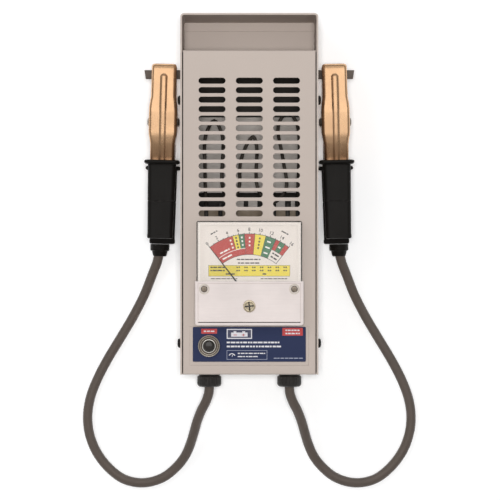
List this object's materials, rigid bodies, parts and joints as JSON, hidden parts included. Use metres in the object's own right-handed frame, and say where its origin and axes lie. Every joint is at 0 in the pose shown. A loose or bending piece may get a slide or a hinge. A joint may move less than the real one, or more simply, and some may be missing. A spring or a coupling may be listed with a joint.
{
  "type": "battery tester",
  "caption": "Battery load tester in a folded steel case with a vented front, a dial voltmeter, a push button and two leads whose copper-plated spring clamps are stored on a bar.",
  "frame": {"origin": "middle of the outer face of the case's back plate, which the tester lies on", "axes": "+X to the right seen from the front, +Y along the case towards the carry recess, +Z out of the front panel"},
  "size_m": [0.2488, 0.349, 0.0798],
  "materials": {
    "paint": "satin silver-grey stoved paint",
    "black_steel": "black oxide",
    "bar_steel": "dull, bare",
    "label": "printed navy film, satin",
    "phenolic": "moulded, dark",
    "zinc_plate": "zinc plated",
    "brass": "turned",
    "dial_white": "matt white print",
    "clear_acrylic": "clear moulding",
    "mask_cream": "cream moulding, satin",
    "copper_wire": "lacquered copper",
    "pointer_black": "matt black",
    "bright_nickel": "nickel plated",
    "plunger_black": "moulded, polished",
    "spring_steel": "bright drawn",
    "galvanised": "galvanised sheet",
    "resistance_wire": "oxidised",
    "fibre_board": "pressed fibre",
    "lead_sheath": "matt extruded sheath",
    "gland_plastic": "moulded nylon",
    "copper_plate": "copper-plated pressed steel",
    "grip_vinyl": "moulded vinyl, satin",
    "rivet_steel": "tubular rivet, dull"
  },
  "bodies": {
    "case": {"rear_shell": "paint", "front_cover": "paint", "cover_screw_lower_left": "black_steel", "cover_screw_lower_right": "black_steel", "cover_screw_upper_left": "black_steel", "cover_screw_upper_right": "black_steel", "clamp_bar": "bar_steel", "label_plate": "label", "meter_housing": "phenolic", "meter_strap": "zinc_plate", "meter_terminal_left": "brass", "meter_terminal_right": "brass", "dial_plate": "dial_white", "dial_screw_left": "zinc_plate", "dial_screw_right": "zinc_plate", "meter_window": "clear_acrylic", "meter_mask": "mask_cream", "meter_screw_left": "brass", "meter_screw_right": "brass", "meter_coil": "copper_wire", "movement_bridge": "brass", "hairspring": "brass", "switch_body": "phenolic", "switch_bushing": "bright_nickel", "ring_nut": "bright_nickel", "button_spring": "spring_steel", "switch_terminal_left": "brass", "switch_terminal_right": "brass", "heat_plate": "galvanised", "load_element": "resistance_wire", "terminal_board": "fibre_board", "inner_lead_left": "lead_sheath", "inner_lead_right": "lead_sheath", "load_lead": "lead_sheath", "gland_body_left": "gland_plastic", "gland_nut_left": "gland_plastic", "gland_locknut_left": "gland_plastic", "lower_jaw_left": "copper_plate", "lower_grip_left": "grip_vinyl", "jaw_rivet_left": "rivet_steel", "jaw_spring_left": "spring_steel", "boot_left": "grip_vinyl", "lead_left": "lead_sheath", "gland_body_right": "gland_plastic", "gland_nut_right": "gland_plastic", "gland_locknut_right": "gland_plastic", "lower_jaw_right": "copper_plate", "lower_grip_right": "grip_vinyl", "jaw_rivet_right": "rivet_steel", "jaw_spring_right": "spring_steel", "boot_right": "grip_vinyl", "lead_right": "lead_sheath"},
    "test_button": {"plunger": "plunger_black", "contact_bridge": "copper_wire"},
    "pointer": {"pointer": "pointer_black"},
    "zero_adjuster": {"zero_adjuster": "brass"},
    "left_clamp_upper": {"upper_jaw_left": "copper_plate", "upper_grip_left": "grip_vinyl"},
    "right_clamp_upper": {"upper_jaw_right": "copper_plate", "upper_grip_right": "grip_vinyl"}
  },
  "joints": [
    {"name": "test_button_press", "type": "slide", "parent": "case", "child": "test_button", "axis": [0, 0, -1], "range_m": [0, 0.0025], "stiffness_N_per_m": 1500, "springref_m": -0.002, "deforming": ["button_spring"]},
    {"name": "pointer_swing", "type": "hinge", "parent": "case", "child": "pointer", "pos_m": [0, -0.0755, 0.0726], "axis": [0, 0, -1], "range_deg": [0, 76], "stiffness_Nm_per_rad": 0.00002, "deforming": ["hairspring"]},
    {"name": "zero_adjuster_turn", "type": "hinge", "parent": "case", "child": "zero_adjuster", "pos_m": [0, -0.0811, 0.0787], "axis": [0, 0, 1], "range_deg": [-60, 60]},
    {"name": "left_clamp_squeeze", "type": "hinge", "parent": "case", "child": "left_clamp_upper", "pos_m": [-0.0633, 0.0536, 0.032], "axis": [0.9998, -0.0202, 0], "range_deg": [0, 22], "stiffness_Nm_per_rad": 1.6, "springref_deg": -34.38, "deforming": ["jaw_spring_left"]},
    {"name": "right_clamp_squeeze", "type": "hinge", "parent": "case", "child": "right_clamp_upper", "pos_m": [0.0633, 0.0536, 0.032], "axis": [0.9998, 0.0202, 0], "range_deg": [0, 22], "stiffness_Nm_per_rad": 1.6, "springref_deg": -34.38, "deforming": ["jaw_spring_right"]}
  ]
}
